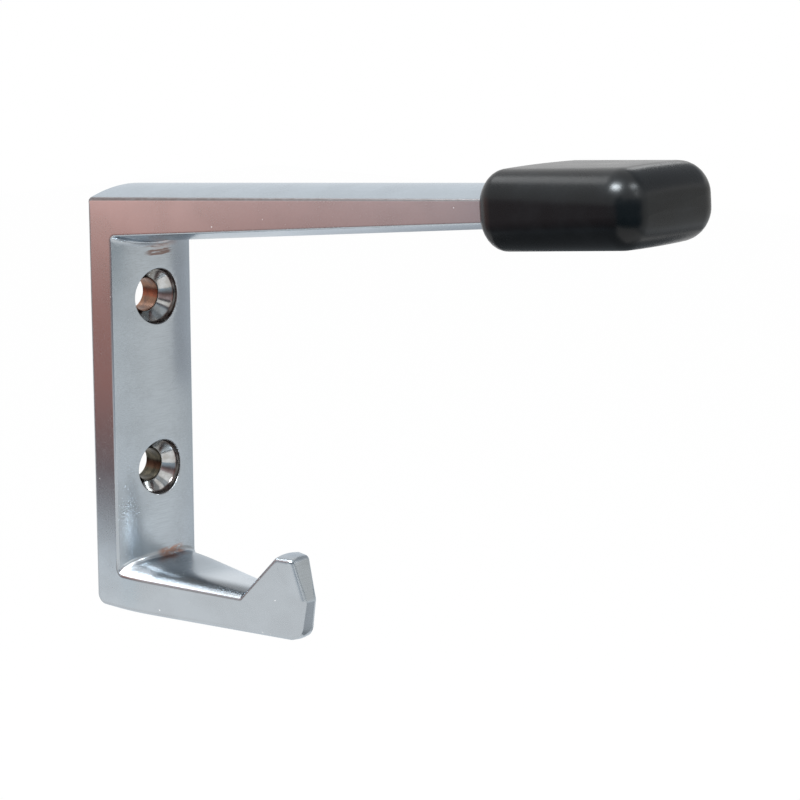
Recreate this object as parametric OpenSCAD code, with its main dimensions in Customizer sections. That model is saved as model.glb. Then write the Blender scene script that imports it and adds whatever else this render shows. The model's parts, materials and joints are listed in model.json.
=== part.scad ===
// Wall-mounted hat and coat hook: one plated casting and the rubber buffer on its long arm.
// X runs across the width, the wall is the plane Y = 0, the hook stands out towards -Y, and Z is up.
// The origin is on the wall face, midway between the two screw holes.
// In the side view a point is written [reach, height]: reach is measured out from the wall.

/* [Plate] */
// Width of the plate and of the arm
body_w = 19.4; // [15:0.2:26]
// Height of the casting at the wall, between its outer side edges
body_h = 75.6; // [68:0.2:110]
// Thickness of the plate at its side edges
plate_t = 6; // [4:0.1:9]
// Bow of the plate's front, from its side edges to its middle
plate_bow = 1.9; // [0.4:0.1:2.6]
// Height of the lower screw hole above the foot of the plate
hole_foot = 25.4; // [18:0.2:34]

/* [Screw holes] */
// Distance between the two screw holes
hole_pitch = 32; // [20:0.5:36]
// Diameter of the hole for the screw's shank
bore_d = 6; // [3.5:0.1:7]
// Diameter of the recess for the screw's head
sink_d = 10.2; // [8:0.1:12]
// Depth of the straight ring above the cone, at the middle of the plate
sink_ring = 1.4; // [0.5:0.1:1.8]
// Full angle of the cone under the screw's head
sink_angle = 90; // [82:1:100]

/* [Arm] */
// Distance from the wall to the shoulder inside the buffer
arm_reach = 95; // [80:1:130]
// Height of the arm's side face at the wall
arm_root_h = 7.1; // [5:0.1:9]
// Height of the arm's side face at the shoulder
arm_end_h = 3.7; // [3:0.1:5]
// Rise of the arm's top edge, in degrees
arm_rise = 4.4; // [0:0.1:8]
// Bow of the arm's top
arm_top_bow = 1.9; // [0.6:0.1:3]
// Bow of the arm's underside
arm_under_bow = 1.7; // [0.6:0.1:3]

/* [Lower hook] */
// Distance from the wall to the crease at the front of the tip
hook_reach = 46; // [42:0.2:60]
// Thickness of the lower hook at the plate, along its side edges
hook_t = 6.3; // [5:0.1:9]
// Thickness of the lower hook at the foot of the tip
neck_t = 5.9; // [4.5:0.1:8]
// Bow of the coat seat where it leaves the plate
seat_bow = 2.2; // [0.6:0.1:3.4]
// Fullness of the coat seat's bow: 2 is round, and more is flatter with steeper sides
seat_power = 4; // [2:0.5:6]
// Bow of the coat seat at the foot of the tip
neck_bow = 1.3; // [0.2:0.1:1.5]
// Height of the tip above the coat seat
tip_h = 8.6; // [6:0.1:12]
// Width of the tip at its crease
tip_w = 4; // [3.4:0.1:8]
// Length of the coat seat's slope up to the tip, measured out from the wall
slope_run = 7.4; // [5:0.1:8]
// Length of the flat on top of the tip
tip_flat = 3.2; // [2.5:0.1:4]
// How far the tip's upper front leans back from the crease
upper_lean = 2.3; // [1.2:0.1:3]
// How far the tip's lower front draws back under the crease
lower_lean = 1.2; // [0.4:0.1:1.6]

/* [Buffer] */
// Width of the buffer at its mouth
buffer_w = 26; // [23:0.2:34]
// Width of the buffer at its outer end
buffer_end_w = 24.2; // [20:0.2:32]
// Height of the buffer's sides at its mouth
buffer_h = 12.4; // [11:0.1:16]
// Height of the buffer's sides at its outer end
buffer_end_h = 12; // [10.4:0.1:16]
// Bow of the buffer's top and underside
buffer_bow = 0.3; // [0:0.1:1.5]
// Length of the buffer
buffer_l = 30; // [27:0.2:40]
// Rise of the buffer and its spigot, in degrees
buffer_rise = 4.8; // [0:0.1:8]
// Radius of the edges at the mouth
mouth_r = 4.4; // [2:0.1:5]
// Radius of the edges at the outer end
nose_r = 5; // [3:0.1:5.4]
// Depth to which the mouth covers the full arm
mouth_lap = 1.8; // [1:0.1:4]

/* [Spigot] */
// Width of the spigot on the arm's end
spigot_w = 13; // [9:0.2:14]
// Height of the spigot
spigot_h = 4.2; // [3:0.1:4.6]
// Length of the spigot
spigot_l = 20; // [12:0.5:22]
// Gap between the spigot and the buffer's socket, all round
spigot_gap = 0.15; // [0.1:0.05:0.3]
// Gap between the arm and the buffer's mouth, all round
mouth_gap = 0.3; // [0.2:0.05:0.5]

/* [Corners] */
// Radius of the inner corner under the arm
inner_r = 1.2; // [0.6:0.1:1.4]
// Radius of the inner corner at the coat seat
seat_r = 1.1; // [0.6:0.1:2]
// Radius of the lower back corner at the wall
foot_r = 2; // [0.8:0.1:3]
// Radius under the front of the tip
chin_r = 2.8; // [1:0.1:3.2]
// Radius of the tip's crisp corners
tip_r = 0.5; // [0.3:0.1:0.8]

/* [Hidden] */
overrun = 1;
round_fn = 64;
ball_fn = 32;
cross_steps = 16;
corner_steps = 4;
// Share of the arm's bow that is left at the shoulder
arm_bow_share = 0.88;
// Share of the tip's width that its faces bow outwards
tip_bow_share = 0.08;
// Bow of the underside of the lower hook, as a share of the plate's bow
foot_bow_share = 0.85;
// Height of the crease above the foot, as a share of the tip's height above the foot
crease_share = 0.5;

half_w = body_w / 2;
foot_z = -hole_pitch / 2 - hole_foot;
top_z = foot_z + body_h;
under_z = top_z - arm_root_h;
seat_z = foot_z + hook_t;
neck_z = foot_z + neck_t;
tip_z = neck_z + tip_h;
tip_bow = tip_w * tip_bow_share;
foot_bow = plate_bow * foot_bow_share;
front = plate_t + plate_bow;

flat_end = hook_reach - upper_lean;
flat_start = flat_end - tip_flat;
slope_start = flat_start - slope_run;
crease_z = foot_z + (tip_z - foot_z) * crease_share;
taper_start = front + seat_r + tip_r;
taper = (half_w - tip_w / 2) / (hook_reach - taper_start);

// The arm's end: its top edge, its middle, and the direction of the buffer as [reach, height]
end_top = top_z + arm_reach * tan(arm_rise);
end_under = end_top - arm_end_h;
end_top_bow = arm_top_bow * arm_bow_share;
end_under_bow = arm_under_bow * arm_bow_share;
shoulder = [arm_reach, (end_top + end_top_bow + end_under - end_under_bow) / 2];
along = [cos(buffer_rise), sin(buffer_rise)];
under_rise = atan((end_under - under_z) / arm_reach);

// Where the line through p at an angle meets the shoulder, which is square to the buffer
function at_shoulder(p, angle) =
  let (d = [cos(angle), sin(angle)]) p + d * ((shoulder - p) * along) / (d * along);

// The point on the line from p to q at a given reach
function at_reach(p, q, reach) = p + (q - p) * (reach - p[0]) / (q[0] - p[0]);

// The outline's corners at a share of the half width: bows fall with its square, the seat's with seat_power
function corners(share) =
  let (bow = 1 - share * share,
       crown = 1 - pow(abs(share), seat_power),
       arm_top = [0, top_z + arm_top_bow * bow],
       arm_under = [0, under_z - arm_under_bow * bow],
       seat = [plate_t + plate_bow * bow, seat_z + seat_bow * crown],
       neck = [slope_start - tip_bow * bow / 2, neck_z + neck_bow * crown],
       chin = [hook_reach - lower_lean + tip_bow * bow, foot_z - tip_bow * bow],
       foot = [0, foot_z - foot_bow * bow])
  [arm_top,
   at_shoulder([arm_reach, end_top + end_top_bow * bow], arm_rise),
   at_shoulder([arm_reach, end_under - end_under_bow * bow], under_rise),
   [seat[0], arm_under[1] + seat[0] * tan(under_rise)],
   seat,
   at_reach(seat, neck, taper_start),
   neck,
   [flat_start - tip_bow * bow, tip_z + tip_bow * bow],
   [flat_end + tip_bow * bow / 2, tip_z + tip_bow * bow],
   [hook_reach + tip_bow * bow, crease_z],
   chin,
   at_reach(chin, foot, taper_start),
   foot];
corner_r = [0, 0, 0, inner_r, seat_r, 0, tip_r, tip_r, tip_r, tip_r, chin_r, 0, foot_r];
at_seat = 4;
at_taper_top = 5;
at_taper_foot = 11;

// An arc of radius r that rounds corner b between a and c; a sharp corner stays one point
function rounded(a, b, c, r) =
  r == 0 ? [b] :
  let (u = (a - b) / norm(a - b),
       v = (c - b) / norm(c - b),
       half = acos(u * v) / 2,
       centre = b + (u + v) / norm(u + v) * r / sin(half),
       start = b + u * r / tan(half) - centre,
       end = b + v * r / tan(half) - centre,
       sweep = 180 - 2 * half)
  [for (i = [0 : corner_steps])
    let (turn = sweep * i / corner_steps)
    centre + (start * sin(sweep - turn) + end * sin(turn)) / sin(sweep)];

// The casting's outline at a share of the half width, with its corners rounded
function outline(share) =
  let (c = corners(share), n = len(c))
  [for (i = [0 : n - 1]) each rounded(c[(i + n - 1) % n], c[i], c[(i + 1) % n], corner_r[i])];

// The place in the outline of a corner's first point
function place(corner) =
  len([for (i = [0 : corner - 1]) each corner_r[i] == 0 ? [i] : [for (k = [0 : corner_steps]) i]]);

// Half the width at a point of the outline: only the lower hook narrows
function half_at(p) = half_w - (p[1] < 0 ? taper * max(0, p[0] - taper_start) : 0);

function flipped(list) = [for (k = [len(list) - 1 : -1 : 0]) list[k]];

// Triangles from one point of an outline to each step of a path along it
function fan(hub, path) = [for (k = [0 : len(path) - 2]) [hub, path[k], path[k + 1]]];

// The casting without its holes and spigot: outlines side by side across the width
module blank() {
  shares = [for (i = [0 : cross_steps]) 2 * i / cross_steps - 1];
  rows = [for (share = shares) outline(share)];
  count = len(rows[0]);
  last = cross_steps * count;
  seat_first = place(at_seat);
  taper_first = place(at_taper_top);
  taper_last = place(at_taper_foot);
  chin_last = taper_last - 1;
  side = concat(
    fan(0, concat([for (j = [1 : seat_first]) j], [count - 1])),
    fan(count - 1, concat([for (j = [seat_first : taper_first]) j],
      [for (j = [taper_last : count - 2]) j])),
    fan(chin_last, concat([taper_last], [for (j = [taper_first : chin_last - 1]) j])));
  skin = [for (i = [0 : cross_steps - 1], j = [0 : count - 1])
    let (a = i * count + j, b = i * count + (j + 1) % count)
    each [[a, b + count, b], [a, a + count, b + count]]];
  polyhedron(
    [for (i = [0 : cross_steps], p = rows[i]) [shares[i] * half_at(p), -p[0], p[1]]],
    concat(skin, side, [for (t = side) flipped([for (j = t) last + j])]));
}

// A countersunk screw hole through the plate, its axis along Y
module screw_hole() {
  cone_h = (sink_d - bore_d) / 2 / tan(sink_angle / 2);
  rotate([90, 0, 0]) {
    translate([0, 0, -overrun]) cylinder(h = front + 2 * overrun, d = bore_d, $fn = round_fn);
    translate([0, 0, front - sink_ring - cone_h])
      cylinder(h = cone_h, d1 = bore_d, d2 = sink_d, $fn = round_fn);
    translate([0, 0, front - sink_ring])
      cylinder(h = sink_ring + overrun, d = sink_d, $fn = round_fn);
  }
}

// Its children drawn in the buffer's own frame: Z runs out along it from the shoulder, Y is up
module at_arm_end() {
  translate([0, -shoulder[0], shoulder[1]]) rotate([90 - buffer_rise, 0, 0]) children();
}

module spigot() {
  at_arm_end() translate([-spigot_w / 2, -spigot_h / 2, -overrun])
    cube([spigot_w, spigot_h, spigot_l + overrun]);
}

module hook_body() {
  color([0.72, 0.74, 0.76]) {
    difference() {
      blank();
      for (side = [-1, 1]) translate([0, 0, side * hole_pitch / 2]) screw_hole();
    }
    spigot();
  }
}

// The arm's section at the shoulder, with a gap all round, as the buffer's mouth needs it
module mouth_section() {
  reach_x = half_w + mouth_gap;
  top = end_top - shoulder[1] + mouth_gap;
  under = end_under - shoulder[1] - mouth_gap;
  shares = [for (i = [0 : cross_steps]) 2 * i / cross_steps - 1];
  polygon(concat(
    [for (share = shares) [share * reach_x, top + end_top_bow * (1 - share * share)]],
    [for (share = flipped(shares)) [share * reach_x, under - end_under_bow * (1 - share * share)]]));
}

// The balls at one end of the buffer's rounded block; the middle pair gives its bow
module balls(width, height, z, r) {
  for (x = [-1, 0, 1], y = [-1, 1])
    translate([x * (width / 2 - r), y * (height / 2 - r + (x == 0 ? buffer_bow : 0)), z])
      sphere(r = r, $fn = ball_fn);
}

module buffer() {
  color([0.06, 0.06, 0.065]) at_arm_end() difference() {
    hull() {
      balls(buffer_w, buffer_h, mouth_r - mouth_lap, mouth_r);
      balls(buffer_end_w, buffer_end_h, buffer_l - mouth_lap - nose_r, nose_r);
    }
    translate([0, 0, -mouth_lap - overrun])
      linear_extrude(mouth_lap + overrun + mouth_gap) mouth_section();
    translate([-spigot_w / 2 - spigot_gap, -spigot_h / 2 - spigot_gap, 0])
      cube([spigot_w + 2 * spigot_gap, spigot_h + 2 * spigot_gap, spigot_l + spigot_gap]);
  }
}

hook_body();
buffer();
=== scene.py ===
import json
import math

import bmesh
import bpy
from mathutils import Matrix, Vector, geometry


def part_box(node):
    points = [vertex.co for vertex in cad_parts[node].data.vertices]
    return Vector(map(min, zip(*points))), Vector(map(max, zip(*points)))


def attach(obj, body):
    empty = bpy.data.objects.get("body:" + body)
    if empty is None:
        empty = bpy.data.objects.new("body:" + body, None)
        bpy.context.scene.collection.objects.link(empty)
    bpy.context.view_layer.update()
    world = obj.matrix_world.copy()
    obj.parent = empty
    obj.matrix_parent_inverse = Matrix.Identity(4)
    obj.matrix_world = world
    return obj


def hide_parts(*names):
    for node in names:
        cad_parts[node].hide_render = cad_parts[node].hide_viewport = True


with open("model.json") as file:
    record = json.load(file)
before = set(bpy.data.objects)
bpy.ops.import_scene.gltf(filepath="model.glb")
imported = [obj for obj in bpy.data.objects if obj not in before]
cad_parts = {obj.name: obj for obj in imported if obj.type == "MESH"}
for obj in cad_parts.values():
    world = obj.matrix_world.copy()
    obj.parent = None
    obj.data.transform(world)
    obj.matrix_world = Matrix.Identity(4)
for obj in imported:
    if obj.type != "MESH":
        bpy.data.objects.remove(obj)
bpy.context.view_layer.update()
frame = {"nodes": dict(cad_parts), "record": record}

# A wall hook for hats and coats: one satin chrome casting with a black rubber buffer on its long arm.
# The wall is the plane Y = 0, the hook stands out towards -Y, and Z is up. Sizes are in millimetres.
# In the side view a point is (reach, height), and reach is measured out from the wall.

millimetre = 0.001
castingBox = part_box("hook_body")
screws = next(mount for mount in frame["record"]["mounts"] if mount["name"] == "screws")["dims"]
print("frame loaded:", ", ".join(sorted(frame["nodes"])))

camera = {
    "place": (-287.06, -327.81, 84.44),
    "azimuth": -47.789,  # degrees; 0 looks along +Y
    "elevation": 11.602,  # degrees above the horizon
    "lens": 106.64,
    "sensor": 36,
    "nearest": 0.01,  # metres
}


def pointing(turn, tilt):  # turn in degrees from +X towards +Y, tilt above the horizon
    turn, tilt = math.radians(turn), math.radians(tilt)
    return Vector((math.cos(turn) * math.cos(tilt), math.sin(turn) * math.cos(tilt), math.sin(tilt)))


def stand(thing, place, direction, face):  # at a place in millimetres, with its own axis face along direction
    thing.location = Vector(place) * millimetre
    thing.rotation_mode = "QUATERNION"
    thing.rotation_quaternion = direction.to_track_quat(face, "Y")
    bpy.context.scene.collection.objects.link(thing)


def makeCamera():
    lens = bpy.data.cameras.new("camera")
    lens.lens, lens.sensor_width, lens.clip_start = camera["lens"], camera["sensor"], camera["nearest"]
    eye = bpy.data.objects.new("camera", lens)
    stand(eye, camera["place"], pointing(camera["azimuth"] + 90, -camera["elevation"]), "-Z")
    bpy.context.scene.camera = eye


makeCamera()
print("camera placed")


class Value:  # wraps a socket, so that shader maths reads as plain sums
    def __init__(self, tree, socket=None):
        self.tree, self.socket = tree, socket

    def node(self, kind, settings={}, sockets={}, output=0):  # settings are set before the sockets
        made = self.tree.nodes.new(kind)
        for name, setting in settings.items():
            if name == "stops":
                ramp = made.color_ramp
                while len(ramp.elements) < len(setting):
                    ramp.elements.new(1)
                for element, (position, colour) in zip(ramp.elements, setting):
                    element.position, element.color = position, (*colour, 1)
            else:
                setattr(made, name, setting)
        for name, given in sockets.items():
            if isinstance(given, Value):
                self.tree.links.new(given.socket, made.inputs[name])
            else:
                made.inputs[name].default_value = given
        return Value(self.tree, made.outputs[output])

    def maths(self, operation, first, second, clamp=False):
        settings = {"operation": operation, "use_clamp": clamp}
        return self.node("ShaderNodeMath", settings, {0: first, 1: second})

    def __add__(self, other):
        return self.maths("ADD", self, other)

    def __radd__(self, other):
        return self.maths("ADD", other, self)

    def __sub__(self, other):
        return self.maths("SUBTRACT", self, other)

    def __rsub__(self, other):
        return self.maths("SUBTRACT", other, self)

    def __mul__(self, other):
        return self.maths("MULTIPLY", self, other)

    def __rmul__(self, other):
        return self.maths("MULTIPLY", other, self)

    def clamped(self):
        return self.maths("ADD", self, 0, clamp=True)

    def between(self, low, high):  # 0 up to low, 1 from high, smooth in between
        settings = {"interpolation_type": "SMOOTHSTEP"}
        return self.node("ShaderNodeMapRange", settings, {"Value": self, "From Min": low, "From Max": high})

    def within(self, start, full, fading, end):  # 1 from full to fading, and 0 outside start and end
        return self.between(start, full) * (1 - self.between(fading, end))


def emptied(owner):  # a material or a world, ready for its own nodes
    owner.use_nodes = True
    owner.node_tree.nodes.clear()
    return Value(owner.node_tree)


def stretched(start, stretch):  # the piece's own coordinates in millimetres, drawn out by stretch
    place = start.node("ShaderNodeTexCoord", output=3)
    scale = [1 / (millimetre * length) for length in stretch]
    return start.node("ShaderNodeVectorMath", {"operation": "MULTIPLY"}, {0: place, 1: scale})


def noise(start, stretch, detail=3, roughness=0.55):  # stretch is the grain's length along X, Y and Z
    sockets = {"Vector": stretched(start, stretch), "Scale": 1, "Detail": detail, "Roughness": roughness}
    return start.node("ShaderNodeTexNoise", {}, sockets)


def mixed(start, share, first, second):  # colours
    return start.node("ShaderNodeMix", {"data_type": "RGBA"}, {0: share, 6: first, 7: second}, output=2)


def bump(start, height, strength, depth, under=None):
    sockets = {"Height": height, "Strength": strength, "Distance": depth * millimetre}
    if under:
        sockets["Normal"] = under
    return start.node("ShaderNodeBump", {}, sockets)


def painted(start, layer):  # what the mesh carries in one of its layers
    return start.node("ShaderNodeAttribute", {"attribute_name": layer}, output=2)


def placeOn(start):  # across the hook, out from the wall and up, in millimetres
    place = {0: stretched(start, (1, 1, 1))}
    across, back, up = (start.node("ShaderNodeSeparateXYZ", {}, place, output=k) for k in range(3))
    return across, 0 - back, up


def finishWith(shader, output="ShaderNodeOutputMaterial"):
    surface = shader.tree.nodes.new(output)
    shader.tree.links.new(shader.socket, surface.inputs["Surface"])


# In these dictionaries a grain has its lengths along X, Y and Z, and a bump its strength and its depth.
# A name that ends in Span holds where a pattern starts to show and where it shows in full.
chrome = {
    "colour": (0.50, 0.54, 0.575, 1),
    "clouded": (0.465, 0.5, 0.53, 1),
    "line": (0.36, 0.385, 0.4, 1),
    "copper": (0.42, 0.235, 0.175, 1),
    "stained": (0.2, 0.12, 0.095, 1),
    # shaded and the next colour are painted shade and a painted highlight, both for the coat seat
    "shaded": (0.08, 0.08, 0.085, 1),
    "polished": (0.86, 0.88, 0.9, 1),
    "worn": (0.17, 0.145, 0.14, 1),
    "speck": (0.85, 0.85, 0.85, 1),
    "grazing": (0.82, 0.87, 0.92, 1),
    "flankSpan": (0.75, 0.95),  # how squarely a face looks sideways; such faces aren't brushed
    "lines": (9, 0.16, 0.16),  # of the brushing
    "lineSpan": (0.4, 0.7),
    "lineShare": 0.3,
    "streaks": (18, 1.1, 1.1),
    "streakShare": 0.25,
    "sand": (0.2, 0.2, 0.2),
    "cloud": (7, 9, 7),
    "cloudSpan": (0.35, 0.7),
    "patches": (1.6, 1.6, 0.8),
    "leastWear": 0.55,
    "patchWear": 0.9,
    "specks": (2.6, 2.6, 2.6),
    "speckSpan": (0.045, 0.07),  # from a speck's rim to the clean metal, as shares of its cell
    "roughness": 0.25,
    "rougher": {"cloud": 0.1, "grain": 0.12, "wear": 0.15, "speck": 0.4},
    "grainBump": (0.45, 0.01),
    "cloudBump": (0.2, 0.06),
    "flankCalm": 0.6,  # how much flatter the clouds are on the flanks
}
stain = {  # above the upper hole, with its edges in millimetres
    "across": (-3.5, -1.5, 2.5, 4.5),
    "up": (22.8, 23.4, 25.2, 25.8),
    "frontSpan": (4, 5),
    "grain": (6, 0.5, 0.5),
    "grainSpan": (0.46, 0.56),
    "share": 0.85,
}
copperStreak = {"across": (-2, 0, 4, 6), "patchSpan": (0.36, 0.5), "share": 0.9}  # in the coat seat's crease
coatSeat = {  # where it gets painted shade and a painted highlight in place of its reflections, in millimetres from the near edge and out from the wall
    "nearSpan": (2.2, 5.5),
    "farShade": 0.3,
    "farSpan": (14, 23),
    "nearShade": 0.5,
    "moreShade": 0.12,
    "moreSpan": (15, 27),
    # the next three place the painted highlight: on the near corner, and towards the seat's outer end
    "cornerSpan": (11.4, 14.5),
    "endPolish": 0.5,
    "endSpan": (19, 26),
}


def stainMask(start, flank):
    look = stain
    across, reach, up = placeOn(start)
    place = across.within(*look["across"]) * up.within(*look["up"]) * reach.between(*look["frontSpan"])
    return noise(start, look["grain"], detail=4).between(*look["grainSpan"]) * place * (1 - flank)


def streakMask(start, patchy):
    look = copperStreak
    across, _, _ = placeOn(start)
    return painted(start, "thin") * across.within(*look["across"]) * patchy.between(*look["patchSpan"])


def seatMasks(start):  # how far the coat seat gets painted shade, and how far a painted highlight
    look = coatSeat
    across, reach, _ = placeOn(start)
    narrowed = start.maths("MAXIMUM", reach - taperStart, 0) * taper
    near = 1 - (across + halfWidth - narrowed).between(*look["nearSpan"])
    # painted shade over the seat, heavier along its near side
    farShade = look["farShade"] * (1 - near) * (1 - reach.between(*look["farSpan"]))
    nearShade = near * (look["nearShade"] + look["moreShade"] * reach.between(*look["moreSpan"]))
    # corner and end are a painted highlight on the near corner and towards the outer end
    corner = near * (1 - reach.between(*look["cornerSpan"]))
    end = look["endPolish"] * (1 - near) * reach.between(*look["endSpan"])
    seat = painted(start, "seat")
    return seat * (farShade + nearShade), (seat * (corner + end)).clamped()


def satinChrome():
    material = bpy.data.materials.new("satin_chrome")
    start, look = emptied(material), chrome
    normal = start.node("ShaderNodeNewGeometry", output=1)
    sideways = start.node("ShaderNodeSeparateXYZ", {}, {0: normal})
    flank = start.maths("ABSOLUTE", sideways, 0).between(*look["flankSpan"])
    lines = noise(start, look["lines"], detail=4)
    streaks = noise(start, look["streaks"], detail=4)
    brushed = lines * (1 - look["streakShare"]) + streaks * look["streakShare"]
    grain = (1 - flank) * brushed + flank * noise(start, look["sand"], detail=2)
    cloud = noise(start, look["cloud"], detail=4)
    patchy = noise(start, look["patches"], detail=5, roughness=0.7)
    cells = {"Vector": stretched(start, look["specks"]), "Scale": 1.0}
    specks = start.node("ShaderNodeTexVoronoi", {}, cells)
    speck = (1 - specks.between(*look["speckSpan"])) * flank
    worn = (painted(start, "edge") * (look["leastWear"] + look["patchWear"] * patchy)).clamped()
    shade, highlight = seatMasks(start)
    lined = (1 - flank) * lines.between(*look["lineSpan"]) * look["lineShare"]
    colour = mixed(start, cloud.between(*look["cloudSpan"]), look["colour"], look["clouded"])
    colour = mixed(start, lined, colour, look["line"])
    colour = mixed(start, streakMask(start, patchy) * copperStreak["share"], colour, look["copper"])
    colour = mixed(start, stainMask(start, flank) * stain["share"], colour, look["stained"])
    # painted shade, then a painted highlight, on the coat seat
    colour = mixed(start, shade, colour, look["shaded"])
    colour = mixed(start, highlight, colour, look["polished"])
    colour = mixed(start, worn, colour, look["worn"])
    colour = mixed(start, speck, colour, look["speck"])
    more = look["rougher"]
    roughness = look["roughness"] + (cloud - 0.5) * more["cloud"] + (grain - 0.5) * more["grain"]
    roughness = roughness + more["wear"] * worn + more["speck"] * speck
    surface = bump(start, grain, *look["grainBump"])
    surface = bump(start, cloud * (1 - look["flankCalm"] * flank), *look["cloudBump"], under=surface)
    finishWith(start.node("ShaderNodeBsdfPrincipled", {}, {
        "Base Color": colour, "Metallic": 1.0, "Roughness": roughness, "Specular Tint": look["grazing"],
        "Normal": surface}))
    return material


turnedMetal = {
    "colour": (0.56, 0.57, 0.57, 1),
    "smeared": (0.42, 0.41, 0.39, 1),
    "worn": (0.17, 0.12, 0.11, 1),
    "leastWear": 0.5,
    "smearWear": 0.5,
    "turning": (3, 0.25, 3),
    "turningBump": (0.2, 0.01),
    "smear": (1.6, 1.6, 1.6),
    "smearSpan": (0.35, 0.7),
    "roughness": 0.09,
    "smearRougher": 0.1,
}


def sinkPolish():
    material = bpy.data.materials.new("polished_countersink")
    start, look = emptied(material), turnedMetal
    smear = noise(start, look["smear"])
    worn = painted(start, "edge") * (look["leastWear"] + look["smearWear"] * smear)
    colour = mixed(start, smear.between(*look["smearSpan"]), look["colour"], look["smeared"])
    colour = mixed(start, worn, colour, look["worn"])
    finishWith(start.node("ShaderNodeBsdfPrincipled", {}, {
        "Base Color": colour, "Metallic": 1.0, "Roughness": look["roughness"] + look["smearRougher"] * smear,
        "Normal": bump(start, noise(start, look["turning"]), *look["turningBump"])}))
    return material


bareMetal = {  # a pair of colours for the upper bore, and one for the lower
    "upper": [(0.24, 0.13, 0.085, 1), (0.15, 0.09, 0.07, 1)],
    "lower": [(0.04, 0.037, 0.027, 1), (0.09, 0.078, 0.055, 1)],
    "smear": (2, 1.2, 2),
    "smearSpan": (0.35, 0.68),
    "smearBump": (0.3, 0.05),
    "changeSpan": (-5, 5),
    "roughness": 0.2,
    "smearRougher": 0.15,
}


def thinPlating():  # deep in the bores the chrome gives way to the copper under it
    material = bpy.data.materials.new("thinly_plated_bore")
    start, look = emptied(material), bareMetal
    smear = noise(start, look["smear"])
    _, _, up = placeOn(start)
    share = smear.between(*look["smearSpan"])
    lower, upper = (mixed(start, share, *look[bore]) for bore in ("lower", "upper"))
    finishWith(start.node("ShaderNodeBsdfPrincipled", {}, {
        "Base Color": mixed(start, up.between(*look["changeSpan"]), lower, upper), "Metallic": 1.0,
        "Roughness": look["roughness"] + look["smearRougher"] * smear,
        "Normal": bump(start, smear, *look["smearBump"])}))
    return material


rubber = {
    "colour": (0.0012, 0.0017, 0.0022, 1),
    "dusty": (0.003, 0.0038, 0.0046, 1),
    "haze": (6, 6, 6),
    "hazeSpan": (0.4, 0.75),
    "hazeBump": (0.3, 0.1),
    "skin": (0.35, 0.35, 0.35),
    "skinBump": (0.25, 0.015),
    "roughness": 0.28,
    "hazeRougher": 0.12,
    "refraction": 1.37,
}


def blackRubber():
    material = bpy.data.materials.new("black_rubber")
    start, look = emptied(material), rubber
    haze = noise(start, look["haze"], detail=4)
    surface = bump(start, noise(start, look["skin"]), *look["skinBump"])
    finishWith(start.node("ShaderNodeBsdfPrincipled", {}, {
        "Base Color": mixed(start, haze.between(*look["hazeSpan"]), look["colour"], look["dusty"]),
        "Metallic": 0.0, "Roughness": look["roughness"] + (haze - 0.5) * look["hazeRougher"],
        "IOR": look["refraction"], "Normal": bump(start, haze, *look["hazeBump"], under=surface)}))
    return material


weldDistance = 0.002  # millimetres; nearer points are made one
sharpAngle = 38  # degrees


def addPiece(name, mesh, materials):
    bmesh.ops.remove_doubles(mesh, verts=mesh.verts, dist=weldDistance)
    bmesh.ops.recalc_face_normals(mesh, faces=mesh.faces)
    bmesh.ops.scale(mesh, vec=(millimetre,) * 3, verts=mesh.verts)
    data = bpy.data.meshes.new(name)
    mesh.to_mesh(data)
    mesh.free()
    for material in materials:
        data.materials.append(material)
    data.shade_smooth()
    data.set_sharp_from_angle(angle=math.radians(sharpAngle))
    piece = bpy.data.objects.new(name, data)
    bpy.context.scene.collection.objects.link(piece)
    weighted = piece.modifiers.new("even shading", "WEIGHTED_NORMAL")
    weighted.keep_sharp = True
    return piece


def distanceToRun(p, a, b):
    run = b - a
    share = max(0, min(1, (p - a).dot(run) / run.length_squared))
    return (p - a - run * share).length


def inside(p, loop):
    within = False
    for k, b in enumerate(loop):
        a = loop[k - 1]
        if (a.y > p.y) != (b.y > p.y) and p.x < a.x + (p.y - a.y) * (b.x - a.x) / (b.y - a.y):
            within = not within
    return within


clearShare = 0.55  # of the grid's spacing, kept free of added points along each edge
insideLoops, tolerance = 1, 1e-6  # what the triangulation keeps, and how near two points may lie


def fillFlat(rim, holes, spacing):
    # Triangles over a flat region: its rim, its holes and a grid of points between them.
    # Returns the added points, and triangles that number the rim first, then the holes, then those points.
    loops = [rim, *holes]
    runs = [(loop[k - 1], loop[k]) for loop in loops for k in range(len(loop))]
    low = Vector((min(p.x for p in rim), min(p.y for p in rim)))
    high = Vector((max(p.x for p in rim), max(p.y for p in rim)))
    columns = round((high.x - low.x) / spacing)
    rows = round((high.y - low.y) / spacing)
    added = []
    for i in range(1, columns):
        for k in range(1, rows):
            shift = (k % 2) / 2
            p = Vector((low.x + (high.x - low.x) * (i + shift) / columns,
                        low.y + (high.y - low.y) * k / rows))
            if not inside(p, rim) or any(inside(p, hole) for hole in holes):
                continue
            if min(distanceToRun(p, a, b) for a, b in runs) > clearShare * spacing:
                added.append(p)
    points, edges = [], []
    for loop in loops:
        first = len(points)
        edges += [(first + k, first + (k + 1) % len(loop)) for k in range(len(loop))]
        points += loop
    points += added
    flat, _, faces, origin, _, _ = geometry.delaunay_2d_cdt(points, edges, [], insideLoops, tolerance)
    triangles = []
    for face in faces:
        middle = sum((flat[k] for k in face), Vector((0, 0))) / len(face)
        if inside(middle, rim) and not any(inside(middle, hole) for hole in holes):
            triangles.append([origin[k][0] for k in face])
    return added, triangles


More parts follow.
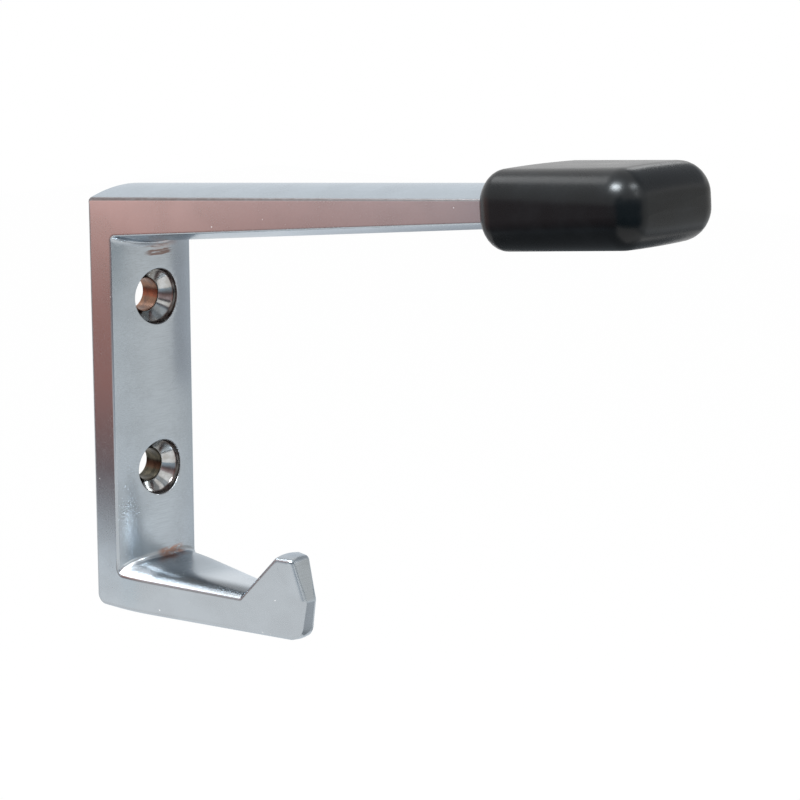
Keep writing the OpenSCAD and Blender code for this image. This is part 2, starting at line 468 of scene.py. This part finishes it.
casting = {
    "width": (castingBox[1].x - castingBox[0].x) / millimetre,
    "height": 75.6,  # at the wall, between the outer side edges
    "plate": 6,  # thickness at the side edges
    "plateBow": 1.9,
    "holeFoot": 25.4,  # lower hole above the foot
    "armReach": 95,
    "armRoot": 7.1,
    "armEnd": 3.7,
    "armRise": 4.4,  # degrees
    "armTopBow": 1.9,
    "armUnderBow": 1.7,
    "armBowShare": 0.88,
    "hookReach": 46,
    "hook": 6.3,
    "neck": 5.9,
    "seatBow": 2.2,
    "neckBow": 1.3,
    "tip": 8.6,
    "tipWidth": 4,
    "tipBow": 0.32,
    "slopeRun": 7.4,
    "tipFlat": 3.2,
    "upperLean": 2.3,
    "lowerLean": 1.2,
    "footBow": 1.615,
    "creaseShare": 0.5,
    "bufferRise": 4.8,  # degrees
    # Half the length over which the lower hook starts to narrow: above blendTop, and blendDrop further down
    "taperBlends": (1.4, 4),
    "blendTop": 4,  # above the coat seat
    "blendDrop": 5,
    "edgeFoot": 0.18,  # of the side face, kept level below each side edge
}
# The corners of the side view, from the wall out along the arm and back round the lower hook. At each one,
# edge is the radius of the side edge, worn is the brown wear on it, and full is 1 for the seat's fuller bow.
corners = {
    "armTop": {"radius": 1, "steps": 4, "edge": 0.8, "worn": 1, "full": 0},
    "endTop": {"radius": 0.6, "steps": 3, "edge": 0.4, "worn": 0.75, "full": 0},
    "endUnder": {"radius": 0.6, "steps": 3, "edge": 0.35, "worn": 0.1, "full": 0},
    "armInner": {"radius": 1.2, "steps": 8, "edge": 0.5, "worn": 0.1, "full": 0},
    "seatInner": {"radius": 1.1, "steps": 8, "edge": 0.6, "worn": 0.7, "full": 1},
    "neck": {"radius": 0.5, "steps": 5, "edge": 0.55, "worn": 0.9, "full": 1},
    "flatStart": {"radius": 0.8, "steps": 6, "edge": 0.7, "worn": 0.3, "full": 0},
    "flatEnd": {"radius": 1.05, "steps": 6, "edge": 1, "worn": 0, "full": 0},
    "crease": {"radius": 1.4, "steps": 6, "edge": 1.4, "worn": 0, "full": 0},
    "chin": {"radius": 2.8, "steps": 8, "edge": 1.4, "worn": 0, "full": 0},
    "foot": {"radius": 2, "steps": 8, "edge": 0.6, "worn": 0.2, "full": 0},
}
edgeWear = {
    "top": 1.5,  # along the arm's top edges the wear covers most of the rounding
    "peakShare": 0.17,  # elsewhere it is a line at this share of the rounding
    "spreadShare": 0.3,
    "thinPlating": {"seatInner": 1.0, "armInner": 0.35},  # how much copper shows across these two corners
}
fineness = {
    "run": 2.2,  # longest piece of a straight run
    "across": 14,  # pieces from the middle to a side edge
    "edge": 6,  # pieces of a side edge's rounding
    "side": 1.6,  # this and what follows is the spacing of the points on each filled region
    "front": 0.9,
    "back": 2,
    "shoulder": 1.2,
}

halfWidth = casting["width"] / 2
holePitch = screws["spacing_y_mm"]
footZ = -holePitch / 2 - casting["holeFoot"]
topZ = footZ + casting["height"]
underZ = topZ - casting["armRoot"]
seatZ = footZ + casting["hook"]
neckZ = footZ + casting["neck"]
tipZ = neckZ + casting["tip"]
front = casting["plate"] + casting["plateBow"]
flatEndReach = casting["hookReach"] - casting["upperLean"]
flatStartReach = flatEndReach - casting["tipFlat"]
slopeStart = flatStartReach - casting["slopeRun"]
creaseZ = footZ + (tipZ - footZ) * casting["creaseShare"]
taperStart = front + corners["seatInner"]["radius"] + corners["neck"]["radius"]
taper = (halfWidth - casting["tipWidth"] / 2) / (casting["hookReach"] - taperStart)

armEndTop = topZ + casting["armReach"] * math.tan(math.radians(casting["armRise"]))
armEndUnder = armEndTop - casting["armEnd"]
endTopBow = casting["armTopBow"] * casting["armBowShare"]
endUnderBow = casting["armUnderBow"] * casting["armBowShare"]
shoulder = Vector((casting["armReach"], (armEndTop + endTopBow + armEndUnder - endUnderBow) / 2))
along = Vector((math.cos(math.radians(casting["bufferRise"])), math.sin(math.radians(casting["bufferRise"]))))
upwards = Vector((-along.y, along.x))
underRise = math.degrees(math.atan((armEndUnder - underZ) / casting["armReach"]))


def atShoulder(reach, height, angle):  # a line from the point meets the shoulder, square to the buffer
    start = Vector((reach, height))
    line = Vector((math.cos(math.radians(angle)), math.sin(math.radians(angle))))
    return start + line * ((shoulder - start).dot(along) / line.dot(along))


def castingCorners(edge):  # in the order of corners; edge is 0 at mid width and 1 along the side edges
    look, bow = casting, 1 - edge
    tipBow = look["tipBow"] * bow
    underBow = look["armUnderBow"] * bow
    seatReach = look["plate"] + look["plateBow"] * bow
    innerZ = underZ - underBow + seatReach * math.tan(math.radians(underRise))
    return [
        Vector((0, topZ + look["armTopBow"] * bow)),
        atShoulder(look["armReach"], armEndTop + endTopBow * bow, look["armRise"]),
        atShoulder(look["armReach"], armEndUnder - endUnderBow * bow, underRise),
        Vector((seatReach, innerZ)),
        Vector((seatReach, seatZ + look["seatBow"] * bow)),
        Vector((slopeStart - tipBow / 2, neckZ + look["neckBow"] * bow)),
        Vector((flatStartReach - tipBow, tipZ + tipBow)),
        Vector((flatEndReach + tipBow / 2, tipZ + tipBow)),
        Vector((look["hookReach"] + tipBow, creaseZ)),
        Vector((look["hookReach"] - look["lowerLean"] + tipBow, footZ - tipBow)),
        Vector((0, footZ - look["footBow"] * bow)),
    ]


def roundedCorner(a, b, c, radius, steps):  # points with their outward directions
    u, v = (a - b).normalized(), (c - b).normalized()
    half = u.angle(v) / 2
    centre = b + (u + v).normalized() * radius / math.sin(half)
    start, end = b + u * radius / math.tan(half) - centre, b + v * radius / math.tan(half) - centre
    sweep = math.pi - 2 * half
    arc = []
    for k in range(steps + 1):
        first = math.sin(sweep * (1 - k / steps)) / math.sin(sweep)
        second = math.sin(sweep * k / steps) / math.sin(sweep)
        ahead = v * second - u * first
        arc.append((centre + start * first + end * second, Vector((-ahead.y, ahead.x)).normalized()))
    return arc


def castingOutline(edge, runs):
    points = castingCorners(edge)
    count = len(points)
    arcs, path = [], []
    for k, corner in enumerate(corners.values()):
        after = points[(k + 1) % count]
        arcs.append(roundedCorner(points[k - 1], points[k], after, corner["radius"], corner["steps"]))
    for k, arc in enumerate(arcs):
        path += arc
        (start, outward), end = arc[-1], arcs[(k + 1) % count][0][0]
        path += [(start.lerp(end, i / runs[k]), outward) for i in range(1, runs[k])]
    return path


def runCounts():  # pieces of the straight run after each corner
    points = castingCorners(1)
    return [math.ceil((points[(k + 1) % len(points)] - point).length / fineness["run"])
            for k, point in enumerate(points)]


def outlinePlaces(runs):  # where each corner's arc starts and ends along the outline, and its count of points
    firsts, lasts, place = {}, {}, 0
    for (name, corner), run in zip(corners.items(), runs):
        firsts[name], lasts[name] = place, place + corner["steps"]
        place += corner["steps"] + run
    return firsts, lasts, place


def partway(first, second, share):
    return first + (second - first) * share


def spread(key, runs):  # one value of the corners, carried to every point of the outline
    values = [corner[key] for corner in corners.values()]
    carried = []
    for k, (corner, run) in enumerate(zip(corners.values(), runs)):
        after = values[(k + 1) % len(values)]
        carried += [values[k]] * (corner["steps"] + 1)
        carried += [partway(values[k], after, i / run) for i in range(1, run)]
    return carried


def halfAt(p):  # half the width: the lower hook narrows towards its tip, from a soft start
    if p.y > 0:
        return halfWidth
    high, low = casting["taperBlends"]
    share = max(0, min(1, (seatZ + casting["blendTop"] - p.y) / casting["blendDrop"]))
    blend = partway(high, low, share * share * (3 - 2 * share))
    past = p.x - taperStart
    return halfWidth - taper * (past if past > blend else max(0, past + blend) ** 2 / (4 * blend))


def inFrame(x, p):
    return Vector((x, -p.x, p.y))


def frontAt(x):  # how far the plate's bowed front stands off the wall
    return casting["plate"] + casting["plateBow"] * (1 - (x / halfWidth) ** 2)


def ofShoulder(x, up, out=0):
    return inFrame(x, shoulder + along * out + upwards * up)


countersink = {
    "bore": screws["hole_r_mm"],
    "head": 5.1,
    "ringFoot": 4.82,  # radius where the ring meets the cone
    "ring": 1.4,  # depth of the cone's outer edge at mid width, were it as wide as the head
    "rim": 0.2,  # rounding of the outer rim
    "rimWear": 0.5,
    "throat": 0.2,  # rounding between the cone and the bore
    "backChamfer": 0.25,
    # Round the ring's foot: how much wider and deeper than it each step is, and how worn
    "footSteps": [(0.14, -0.25, 1), (0.03, -0.05, 1), (-0.05, 0.05, 0.2)],
    "steps": 4,  # of each rounding, of the cone and of the bore
    "around": 96,
}
platedFinish, sinkFinish, boreFinish = range(3)  # in the order of the casting's materials


def circle(radius, height):
    count = countersink["around"]
    turns = [2 * math.pi * k / count for k in range(count)]
    return [(radius * math.cos(turn), height + radius * math.sin(turn)) for turn in turns]


def sinkRings(height):  # from the plate's front to its back: each ring's points, finish and wear
    look, count = countersink, countersink["steps"]
    rings = []
    for k in range(count + 1):
        turn = math.pi / 2 * k / count
        flat = circle(look["head"] + look["rim"] * (1 - math.sin(turn)), height)
        inwards = look["rim"] * (1 - math.cos(turn))
        worn = look["rimWear"] if k > 1 else 0
        rings.append(([Vector((x, inwards - frontAt(x), z)) for x, z in flat], platedFinish, worn))
    foot, bore, throat, chamfer = look["ringFoot"], look["bore"], look["throat"], look["backChamfer"]
    coneTop = look["ring"] - front + look["head"] - foot
    coneFoot = coneTop + foot - bore
    steps = [(foot + wider, coneTop + deeper, sinkFinish, worn) for wider, deeper, worn in look["footSteps"]]
    for k in range(1, count + 1):
        down = (foot - bore - throat) * k / count
        steps.append((foot - down, coneTop + down, sinkFinish, 0))
    for k in range(1, count):
        share = k / count
        steps.append((bore + throat * (1 - share) ** 2, coneFoot + throat * (2 * share - 1), sinkFinish, 0))
    for k in range(count + 1):
        steps.append((bore, partway(coneFoot + throat, -chamfer, k / count), boreFinish, 0))
    steps.append((bore + chamfer, 0, platedFinish, 0))
    return rings + [([Vector((x, y, z)) for x, z in circle(radius, height)], finish, worn)
                    for radius, y, finish, worn in steps]


def joinRings(mesh, rings, finishes=()):  # each finish is for the band that ends at its ring
    for j, (upper, lower) in enumerate(zip(rings, rings[1:]), 1):
        for k in range(len(upper)):
            face = mesh.faces.new((upper[k - 1], upper[k], lower[k], lower[k - 1]))
            face.material_index = finishes[j] if finishes else platedFinish


def makeHole(mesh, wear, height):  # returns its rims on the plate's front and back
    rings, finishes = [], []
    for points, finish, worn in sinkRings(height):
        rings.append([mesh.verts.new(p) for p in points])
        finishes.append(finish)
        for v in rings[-1]:
            v[wear] = worn
    joinRings(mesh, rings, finishes)
    return rings[0], rings[-1]


def edgeArc(half, side, outward, slope, radius, worn, onTop):  # an edge's rounding, up from the side face
    count = fineness["edge"]
    sweep = math.atan2(1, slope)
    centre = radius * (slope - math.sqrt(1 + slope * slope))
    arc = [(half, side + outward * (centre - casting["edgeFoot"]), {})]
    for i in range(count + 1):
        share, turn = i / count, sweep * i / count
        p = side + outward * (centre + radius * math.sin(turn))
        p.x = max(0, p.x)
        line = max(0, 1 - abs(share - edgeWear["peakShare"]) / edgeWear["spreadShare"])
        wide = min(1, edgeWear["top"] * math.sin(math.pi * share))
        arc.append((half - radius + radius * math.cos(turn), p, {"edge": (wide if onTop else line) * worn}))
    return arc


def acrossFace(half, side, bow, full, reachX, paint):  # the bowed face between the two side edges
    face, count = [], fineness["across"]
    for i in range(1, 2 * count):
        share = (i / count - 1) * reachX / half
        rounded, fuller = 1 - share ** 2, 1 - share ** 4
        rise = Vector((bow.x * rounded, bow.y * partway(rounded, fuller, full)))
        face.append((share * half, side + rise, paint))
    return face


def castingRows(runs):  # the outline carried across the width, with what is painted at each place
    firsts, lasts, count = outlinePlaces(runs)
    radii, worn, full = (spread(key, runs) for key in ("edge", "worn", "full"))
    for k in range(lasts["armInner"], firsts["seatInner"]):  # the plate's long edges are clean
        worn[k] = 0
    thin = [0.0] * count
    for name, amount in edgeWear["thinPlating"].items():
        for k in range(firsts[name], lasts[name] + 1):
            thin[k] = amount
    rows = []
    outlines = zip(castingOutline(0, runs), castingOutline(1, runs))
    for k, ((middle, _), (side, outward)) in enumerate(outlines):
        half, bow = halfAt(side), middle - side
        slope = 2 * (bow.x * outward.x + bow.y * outward.y * (1 + full[k])) / half
        onTop = firsts["armTop"] <= k < firsts["endUnder"]
        arc = edgeArc(half, side, outward, slope, radii[k], worn[k], onTop)
        onSeat = 1.0 if firsts["seatInner"] < k < lasts["neck"] else 0.0
        face = acrossFace(half, side, bow, full[k], arc[-1][0], {"thin": thin[k], "seat": onSeat})
        rows.append([(-x, p, paint) for x, p, paint in arc] + face + arc[::-1])
    return rows


def addTriangles(mesh, points, triangles):
    for a, b, c in triangles:
        mesh.faces.new((points[a], points[b], points[c]))


def fillPatch(mesh, rim, holes, spacing, flatten, lift):
    loops = [[flatten(v.co) for v in loop] for loop in (rim, *holes)]
    added, triangles = fillFlat(loops[0], loops[1:], spacing)
    points = rim + [v for hole in holes for v in hole] + [mesh.verts.new(lift(p)) for p in added]
    addTriangles(mesh, points, triangles)


def patchRim(rows, left, right):  # round a patch, from its first row's left end
    rim = rows[0][left:right + 1]
    rim += [row[right] for row in rows[1:]]
    rim += rows[-1][left:right][::-1]
    rim += [row[left] for row in rows[-2:0:-1]]
    return rim


def makeCasting():
    runs = runCounts()
    firsts, lasts, count = outlinePlaces(runs)
    mesh = bmesh.new()
    layers = {name: mesh.verts.layers.float.new(name) for name in ("edge", "thin", "seat")}

    def add(x, p, paint={}):
        made = mesh.verts.new(inFrame(x, p))
        for name, amount in paint.items():
            made[layers[name]] = amount
        return made

    rows = [[add(*spot) for spot in row] for row in castingRows(runs)]
    across = len(rows[0])
    left, right = fineness["edge"] + 1, across - 2 - fineness["edge"]
    patches = {"front": ("armInner", "seatInner"), "back": ("foot", "armTop"),
               "shoulder": ("endTop", "endUnder")}
    rims, patched = {}, set()
    for name, (start, end) in patches.items():
        first, last = lasts[start], firsts[end] or count
        patched.update(range(first, last))
        rims[name] = patchRim([rows[k % count] for k in range(first, last + 1)], left, right)
    for k in range(count):
        after = rows[(k + 1) % count]
        for i in range(across - 1):
            if k not in patched or not left <= i < right:
                mesh.faces.new((rows[k][i], after[i], after[i + 1], rows[k][i + 1]))

    # The two side faces share one pattern of triangles
    loop = [Vector((-row[0].co.y, row[0].co.z)) for row in rows]
    added, triangles = fillFlat(loop, [], fineness["side"])
    for side, column in ((-1, 0), (1, across - 1)):
        points = [row[column] for row in rows] + [add(side * halfAt(p), p) for p in added]
        addTriangles(mesh, points, triangles)

    # The plate's front and back are filled round the screw holes, and the shoulder round the spigot
    holes = [makeHole(mesh, layers["edge"], height) for height in (-holePitch / 2, holePitch / 2)]
    fillPatch(mesh, rims["front"], [hole[0] for hole in holes], fineness["front"],
              lambda v: Vector((v.x, v.z)), lambda p: Vector((p.x, -frontAt(p.x), p.y)))
    fillPatch(mesh, rims["back"], [hole[1] for hole in holes], fineness["back"],
              lambda v: Vector((v.x, v.z)), lambda p: Vector((p.x, 0, p.y)))
    fillPatch(mesh, rims["shoulder"], [makeSpigot(mesh)], fineness["shoulder"],
              lambda v: Vector((v.x, (Vector((-v.y, v.z)) - shoulder).dot(upwards))),
              lambda p: ofShoulder(p.x, p.y))
    return mesh


spigot = {
    "width": 13,
    "height": 4.2,
    "length": 20,
    "corner": 0.5,
    "leastCorner": 0.05,
    "nose": 0.8,
    "noseSteps": 4,
}


# A rectangle with round corners, anticlockwise from the right side's foot. Its top and underside may bow.
def roundedLoop(halfW, low, high, radius, lowBow=0, highBow=0, cornerSteps=8, sidePieces=6, topPieces=16):
    centres = [(halfW - radius, high - radius, 0), (radius - halfW, high - radius, 1),
               (radius - halfW, low + radius, 2), (halfW - radius, low + radius, 3)]
    loop = []
    for k, (x, y, quarter) in enumerate(centres):
        for i in range(cornerSteps + 1):
            turn = math.pi / 2 * (quarter + i / cornerSteps)
            loop.append((x + radius * math.cos(turn), y + radius * math.sin(turn)))
        nextX, nextY, nextQuarter = centres[(k + 1) % 4]
        turn = math.pi / 2 * (nextQuarter if nextQuarter else 4)
        start, end = loop[-1], (nextX + radius * math.cos(turn), nextY + radius * math.sin(turn))
        pieces = topPieces if quarter % 2 == 0 else sidePieces
        for i in range(1, pieces):
            loop.append((partway(start[0], end[0], i / pieces), partway(start[1], end[1], i / pieces)))
    centre = (low + high) / 2
    bowed = []
    for x, y in loop:
        rise = 1 - min(1, (x / halfW) ** 2)
        if y > centre:
            y += highBow * rise * (y - centre) / (high - centre)
        else:
            y -= lowBow * rise * (centre - y) / (centre - low)
        bowed.append((x, y))
    return bowed


def closeRing(mesh, ring, centre):
    hub = mesh.verts.new(centre)
    for k in range(len(ring)):
        mesh.faces.new((ring[k - 1], ring[k], hub))


def makeSpigot(mesh):  # returns its ring on the arm's end
    look = spigot
    halfW, halfH, length = look["width"] / 2, look["height"] / 2, look["length"]
    spans = [(0, 0), (length / 3, 0), (length * 2 / 3, 0)]
    for k in range(look["noseSteps"] + 1):
        turn = math.pi / 2 * k / look["noseSteps"]
        spans.append((length - look["nose"] * (1 - math.sin(turn)), look["nose"] * (1 - math.cos(turn))))
    rings = []
    for out, inset in spans:
        corner = max(look["leastCorner"], look["corner"] - inset / 2)
        loop = roundedLoop(halfW - inset, inset - halfH, halfH - inset, corner, cornerSteps=4, sidePieces=3,
                           topPieces=8)
        rings.append([mesh.verts.new(ofShoulder(x, up, out)) for x, up in loop])
    joinRings(mesh, rings)
    closeRing(mesh, rings[-1], ofShoulder(0, 0, length))
    return rings[0]


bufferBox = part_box("buffer")
buffer = {
    "width": (bufferBox[1].x - bufferBox[0].x) / millimetre,
    "endWidth": 24.2,
    "height": 12.4,
    "endHeight": 12,
    "bow": 0.3,
    "length": 30,
    "mouthRadius": 4.4,
    "noseRadius": 5,
    "lap": 1.8,  # how far the mouth covers the arm
    "lip": 0.35,
    "lipGap": 0.12,
    "recess": 0.3,
    "socketGap": 0.15,
    "corner": 0.4,  # of the socket and the recess
    "crown": 0.12,  # of the end face
    "leastRadius": 0.02,  # of the end face's corners
    "lipSteps": 5,
    "mouthSteps": 10,
    "bodySteps": 6,
    "noseSteps": 12,
    "endSteps": 5,
}
halfMouth, halfTall = buffer["width"] / 2, buffer["height"] / 2
halfEnd, halfEndTall = buffer["endWidth"] / 2, buffer["endHeight"] / 2
mouthOut = buffer["mouthRadius"] - buffer["lap"]  # where the mouth's rounding ends, out from the shoulder
noseOut = buffer["length"] - buffer["lap"] - buffer["noseRadius"]
socketDepth = spigot["length"] + buffer["socketGap"]
openX = halfWidth + buffer["lipGap"]
openTop = armEndTop - shoulder.y + buffer["lipGap"]
openUnder = armEndUnder - shoulder.y - buffer["lipGap"]
lipTurn = math.acos((openX + buffer["lip"] - halfMouth + buffer["mouthRadius"]) / buffer["mouthRadius"])
lipOut = mouthOut - buffer["mouthRadius"] * math.sin(lipTurn)


# Each ring below is half its width, its underside, its top, its corner radius, how far out it lies, and how
# far its underside and its top bow
def hollowRings():  # the socket for the spigot, then the recess for the arm's end, from the inside out
    look = buffer
    halfW, halfH = spigot["width"] / 2 + look["socketGap"], spigot["height"] / 2 + look["socketGap"]
    rings = [(halfW, -halfH, halfH, look["corner"], out, 0, 0)
             for out in (socketDepth, socketDepth / 2, look["recess"])]
    for out in (look["recess"], lipOut + look["lip"]):
        rings.append((openX, openUnder, openTop, look["corner"], out, endUnderBow, endTopBow))
    for k in range(1, look["lipSteps"]):
        turn = math.pi / 2 * k / look["lipSteps"]
        grow, out = look["lip"] * (1 - math.cos(turn)), lipOut + look["lip"] * (1 - math.sin(turn))
        rings.append((openX + grow, openUnder - grow, openTop + grow, look["corner"] + grow, out,
                      endUnderBow, endTopBow))
    return rings


def mouthRings():  # from the lip to the full section
    look, radius = buffer, buffer["mouthRadius"]
    rings = []
    for k in range(look["mouthSteps"] + 1):
        share = 1 - k / look["mouthSteps"]
        turn, blend = lipTurn * share, share ** 3
        inset = radius * (1 - math.cos(turn))
        low = partway(inset - halfTall, openUnder - look["lip"], blend)
        high = partway(halfTall - inset, openTop + look["lip"], blend)
        rings.append((halfMouth - inset, low, high, radius - inset, mouthOut - radius * math.sin(turn),
                      partway(look["bow"], endUnderBow, blend), partway(look["bow"], endTopBow, blend)))
    return rings


def bodyRings():  # from the mouth to the nose
    look = buffer
    rings = []
    for k in range(1, look["bodySteps"]):
        share = k / look["bodySteps"]
        tall = partway(halfTall, halfEndTall, share)
        radius = partway(look["mouthRadius"], look["noseRadius"], share)
        rings.append((partway(halfMouth, halfEnd, share), -tall, tall, radius,
                      partway(mouthOut, noseOut, share), look["bow"], look["bow"]))
    return rings


def noseRings():  # the rounded nose and the slightly crowned end face
    look, radius = buffer, buffer["noseRadius"]
    rings = []
    for k in range(look["noseSteps"] + 1):
        turn = math.pi / 2 * k / look["noseSteps"]
        inset = radius * (1 - math.cos(turn))
        rings.append((halfEnd - inset, inset - halfEndTall, halfEndTall - inset,
                      max(look["leastRadius"], radius - inset),
                      noseOut + (radius - look["crown"]) * math.sin(turn), look["bow"], look["bow"]))
    for k in range(look["endSteps"] - 1, 0, -1):
        share = k / look["endSteps"]
        tall, bow = (halfEndTall - radius) * share, look["bow"] * share
        rings.append(((halfEnd - radius) * share, -tall, tall, look["leastRadius"] * share,
                      noseOut + radius - look["crown"] * share ** 2, bow, bow))
    return rings


def makeBuffer():
    mesh = bmesh.new()
    sections = hollowRings() + mouthRings() + bodyRings() + noseRings()
    rings = []
    for halfW, low, high, radius, out, lowBow, highBow in sections:
        loop = roundedLoop(halfW, low, high, radius, lowBow, highBow)
        rings.append([mesh.verts.new(ofShoulder(x, up, out)) for x, up in loop])
    joinRings(mesh, rings)
    closeRing(mesh, rings[0], ofShoulder(0, 0, socketDepth))
    closeRing(mesh, rings[-1], ofShoulder(0, 0, noseOut + buffer["noseRadius"]))
    return mesh


hookCasting = addPiece("hook_casting", makeCasting(), [satinChrome(), sinkPolish(), thinPlating()])
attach(hookCasting, "hook")
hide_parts("hook_body")
print("casting made:", len(hookCasting.data.polygons), "faces")

rubberBuffer = addPiece("rubber_buffer", makeBuffer(), [blackRubber()])
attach(rubberBuffer, "buffer")
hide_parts("buffer")
print("buffer made:", len(rubberBuffer.data.polygons), "faces")


studio = {
    "floor": -620,  # height of the floor under the hook's origin
    "floorSize": 9000,
    "floorColour": (0.9, 0.9, 0.9, 1),
    "shownShare": 0.94,  # how much of the floor's look is plain white
    "lampsAway": 1000,
}
white = (1, 1, 1, 1)


def flatSheet(name, width, height, material):  # it faces its own +Z
    x, y = width * millimetre / 2, height * millimetre / 2
    data = bpy.data.meshes.new(name)
    data.from_pydata([(-x, -y, 0), (x, -y, 0), (x, y, 0), (-x, y, 0)], [], [(0, 1, 2, 3)])
    data.materials.append(material)
    return bpy.data.objects.new(name, data)


def makeWorld():
    world = bpy.data.worlds.new("studio")
    sky = emptied(world).node("ShaderNodeBackground", {}, {"Color": white, "Strength": 1.0})
    finishWith(sky, "ShaderNodeOutputWorld")
    bpy.context.scene.world = world


def seenDirectly(start):  # 1 for the rays that see the background: from the eye, off gloss and through glass
    rays = [start.node("ShaderNodeLightPath", output=k) for k in (0, 3, 6)]
    return (rays[0] + rays[1] + rays[2]).clamped()


def makeFloor():
    material = bpy.data.materials.new("pale_floor")
    start = emptied(material)
    pale = start.node("ShaderNodeBsdfDiffuse", {}, {"Color": studio["floorColour"]})
    plain = start.node("ShaderNodeEmission", {}, {"Color": white, "Strength": 1.0})
    share = seenDirectly(start) * studio["shownShare"]
    finishWith(start.node("ShaderNodeMixShader", {}, {0: share, 1: pale, 2: plain}))
    floor = flatSheet("floor", studio["floorSize"], studio["floorSize"], material)
    stand(floor, (0, 0, studio["floor"]), Vector((0, 0, 1)), "Z")


# Boards that only the metal and the rubber reflect. Each is a flat sheet in one colour, or in colours that
# change along it and up it, multiplied where it has both
boards = {
    "plate_board": {
        "place": (-70, 80, -8), "towards": (1, 0, 0), "size": (100, 108),
        "along": [(0, (0.86, 0.95, 0.97)), (0.38, (1, 1, 1))],
        "up": [(0, (1.25, 1.27, 1.3)), (0.07, (0.9, 0.95, 1)), (0.15, (0.22, 0.22, 0.24)),
               (0.23, (0.14, 0.09, 0.09)), (0.4, (0.47, 0.205, 0.17)), (0.58, (0.52, 0.235, 0.195)),
               (0.72, (0.84, 0.46, 0.39)), (0.8, (1.2, 0.7, 0.61))],
    },
    "arm_board": {
        "place": (-70, -55, 8), "towards": (1, 0, 0), "size": (170, 76),
        "along": [(0, (0.34, 0.46, 0.55)), (0.53, (0.42, 0.56, 0.66)), (0.62, (0.7, 0.83, 0.89)),
                  (1, (0.9, 0.95, 0.97))],
        "up": [(0, (0.9, 0.85, 0.85)), (0.25, (0.75, 0.65, 0.64)), (0.4, (0.45, 0.33, 0.31)),
               (0.5, (0.32, 0.18, 0.16)), (0.6, (0.63, 0.325, 0.275)), (0.7, (0.84, 0.455, 0.395)),
               (0.8, (1.15, 0.69, 0.61))],
    },
    "grey_board": {
        "place": (330, -330, -90), "towards": (-0.7, 0.7, 0), "size": (1150, 420),
        "along": [(0, (0.62, 0.62, 0.62)), (0.5, (0.87, 0.87, 0.87)), (1, (0.82, 0.83, 0.83))],
        "up": [(0, (0.4, 0.42, 0.44)), (0.12, (0.5, 0.53, 0.56)), (0.28, (1.15, 1.2, 1.25)),
               (0.36, (1.08, 1.12, 1.15)), (0.42, (0.9, 0.92, 0.92)), (0.6, (0.97, 0.98, 0.98)),
               (0.8, (0.82, 0.82, 0.8)), (1, (0.75, 0.75, 0.73))],
    },
    "dark_board": {
        "place": (-345, -310, 115), "towards": (0.73, 0.65, -0.22), "size": (150, 220),
        "colour": (0.05, 0.05, 0.06, 1),
    },
    "under_board": {
        "place": (0, -103, 20), "towards": (0, 0, 1), "size": (60, 40),
        "colour": (0.2, 0.22, 0.24, 1),
    },
    "chin_board": {
        "place": (122, -131, -172), "towards": (-0.61, 0.43, 0.67), "size": (170, 120),
        "up": [(0, (0.2, 0.22, 0.24)), (1, (0.6, 0.62, 0.64))],
    },
    "corner_board": {
        "place": (-41, -173, 32), "towards": (0.5, 0.866, 0.1), "size": (150, 60),
        "colour": (0.05, 0.12, 0.16, 1),
    },
    "far_board": {
        "place": (57, -10, 5), "towards": (-1, 0, 0), "size": (60, 34),
        "along": [(0, (0.9, 0.92, 0.94)), (0.25, (0.78, 0.8, 0.83)), (0.7, (0.5, 0.52, 0.55)),
                  (1, (0.42, 0.44, 0.47))],
    },
    "upper_board": {
        "place": (430, -180, 380), "towards": (-0.7, 0.3, -0.6), "size": (700, 420),
        "up": [(0, (0.55, 0.57, 0.6)), (1, (0.3, 0.32, 0.34))],
    },
}


def boardColour(start, look):
    colour = look.get("colour", white)
    for axis, key in enumerate(("along", "up")):
        if key in look:
            place = {0: stretched(start, [look["size"][axis]] * 3)}
            share = start.node("ShaderNodeSeparateXYZ", {}, place, output=axis) + 0.5
            ramp = start.node("ShaderNodeValToRGB", {"stops": look[key]}, {0: share})
            colour = start.node("ShaderNodeMix", {"data_type": "RGBA", "blend_type": "MULTIPLY"},
                                {0: 1.0, 6: colour, 7: ramp}, output=2)
    return colour


def makeBoard(name, look):
    material = bpy.data.materials.new(name)
    start = emptied(material)
    finishWith(start.node("ShaderNodeEmission", {}, {"Color": boardColour(start, look), "Strength": 1.0}))
    board = flatSheet(name, *look["size"], material)
    board.visible_camera = board.visible_diffuse = board.visible_shadow = False
    stand(board, look["place"], Vector(look["towards"]), "Z")


coolLight, paleLight, skyLight = (0.87, 0.95, 1), (0.97, 0.99, 1), (0.92, 0.97, 1)
lamps = {  # towards is the turn from +X to +Y, and the tilt above the horizon
    "window": {"towards": (-165, 56), "size": (420, 230), "power": 19, "colour": coolLight},
    "skylight": {"towards": (103, 53), "size": (420, 240), "power": 1.2, "colour": paleLight},
    "end_window": {"towards": (15, 32), "size": (320, 180), "power": 0.45, "colour": paleLight},
    "front_window": {"towards": (-78, 46), "size": (260, 170), "power": 2, "colour": coolLight},
    "high_window": {"towards": (-90, 50), "size": (160, 160), "power": 0.5, "colour": paleLight},
    "side_window": {"towards": (-84, 28), "size": (200, 120), "power": 0.4, "colour": skyLight},
}


def makeLamps():
    for name, look in lamps.items():
        light = bpy.data.lights.new(name, "AREA")
        light.shape = "RECTANGLE"
        light.size, light.size_y = (length * millimetre for length in look["size"])
        light.energy, light.color = look["power"], look["colour"]
        direction = pointing(*look["towards"])
        stand(bpy.data.objects.new(name, light), direction * studio["lampsAway"], -direction, "-Z")


makeWorld()
makeFloor()
for name, look in boards.items():
    makeBoard(name, look)
makeLamps()
bpy.context.scene.view_settings.view_transform = "Standard"
print("studio lit")
